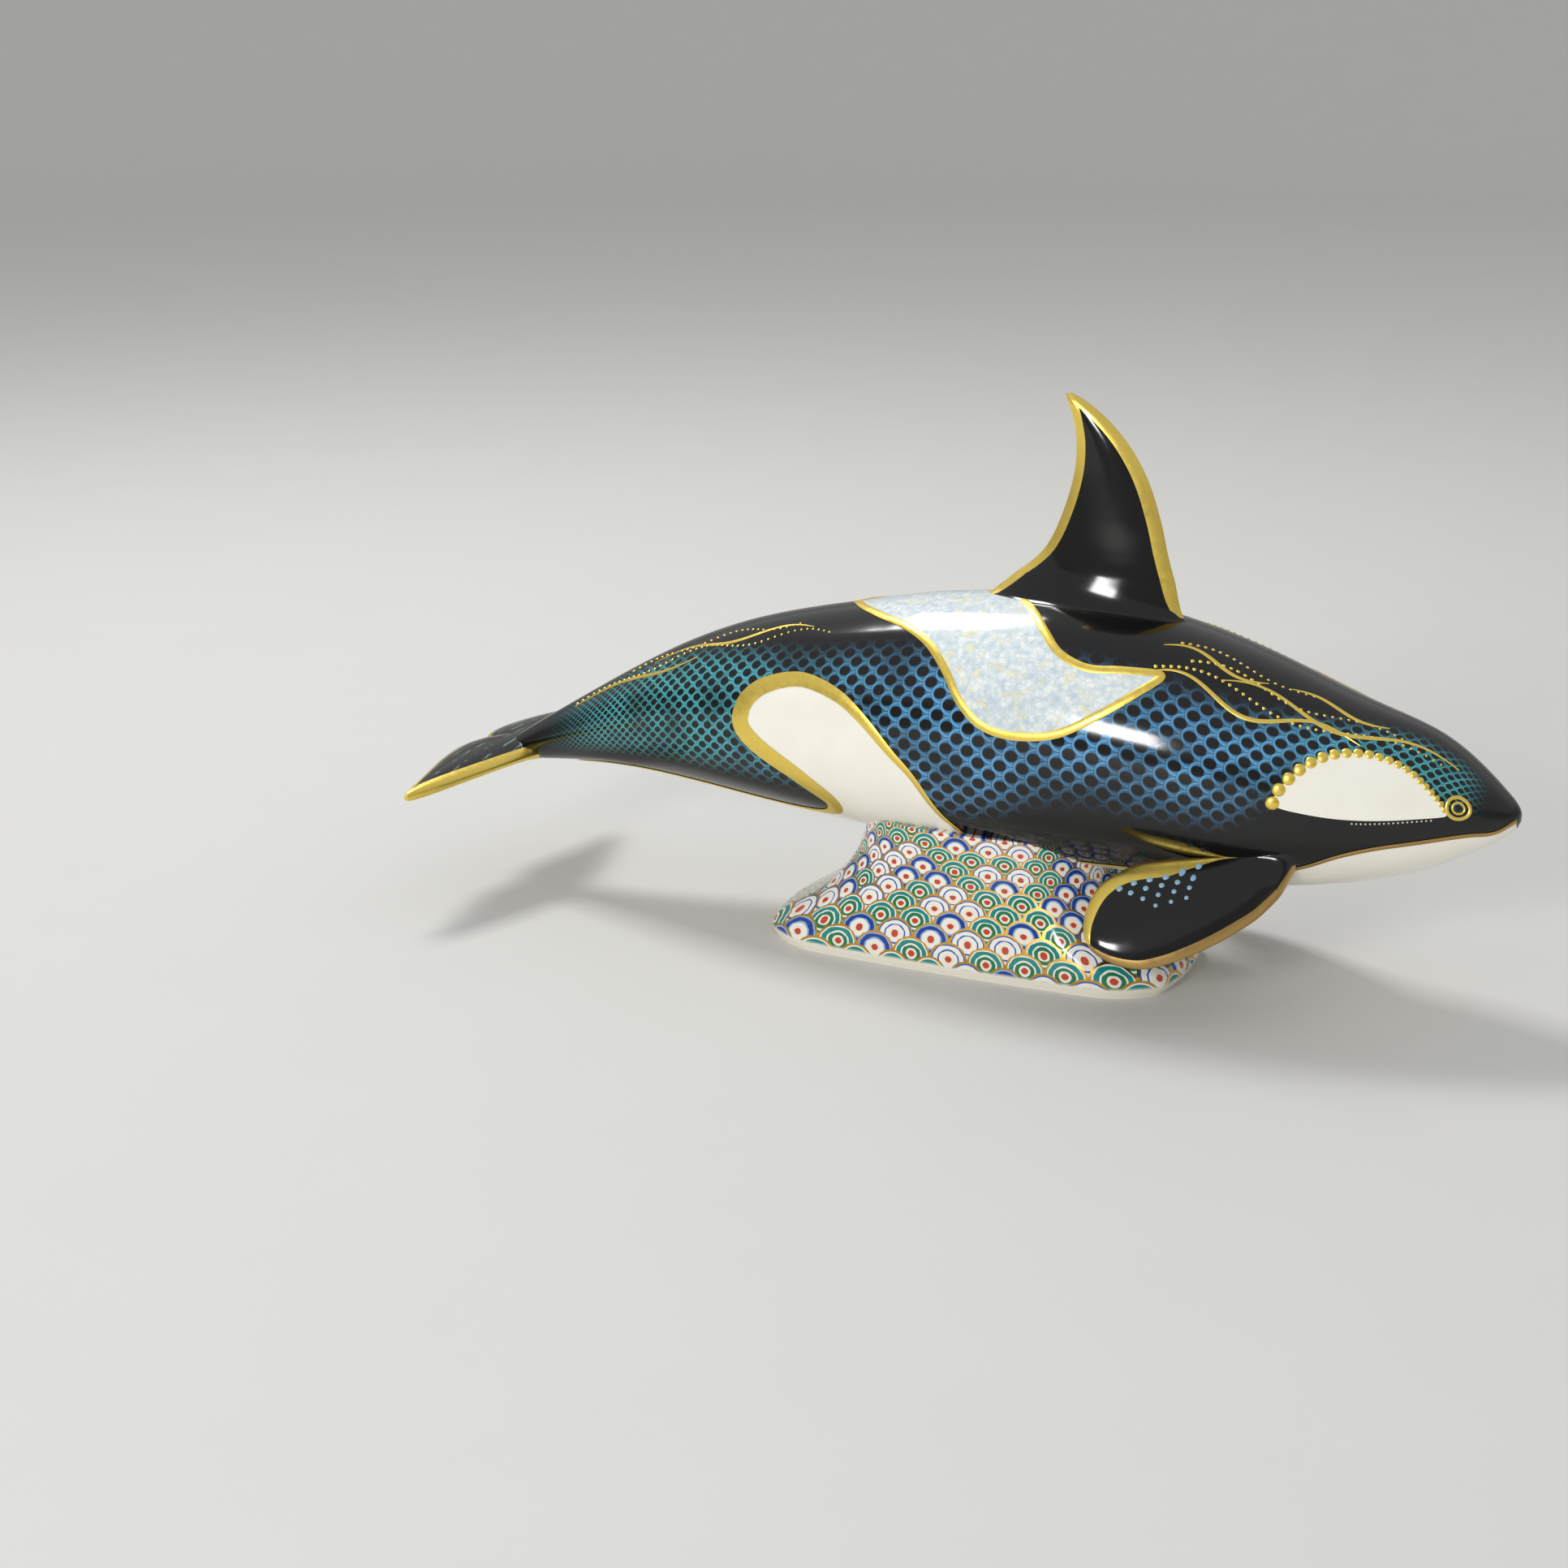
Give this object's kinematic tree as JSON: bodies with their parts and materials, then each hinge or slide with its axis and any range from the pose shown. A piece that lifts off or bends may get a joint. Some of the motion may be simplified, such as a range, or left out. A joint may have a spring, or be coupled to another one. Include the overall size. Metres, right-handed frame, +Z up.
{
  "type": "whale figurine",
  "caption": "Orca ornament in glazed china with gilded edges, arched over a low wave-shaped base that it stands on.",
  "frame": {"origin": "on the surface that it stands on, in the middle plane, halfway between the nose and the rear of the flukes", "axes": "+X along the body towards the nose, +Y to the whale's left, +Z up"},
  "size_m": [0.2238, 0.076, 0.113],
  "materials": {
    "body_glaze": "gloss glaze over painted black and blue",
    "fin_glaze": "black gloss glaze",
    "base_glaze": "white gloss glaze with painted waves",
    "white_glaze": "white gloss glaze",
    "gilding": "burnished gold",
    "stopper_plastic": "matt"
  },
  "bodies": {
    "root": {"body_shell": "body_glaze", "wave_base": "base_glaze", "dorsal_fin": "fin_glaze", "flipper_right": "fin_glaze", "flipper_left": "fin_glaze", "tail_flukes": "fin_glaze", "stopper": "stopper_plastic"}
  },
  "joints": []
}
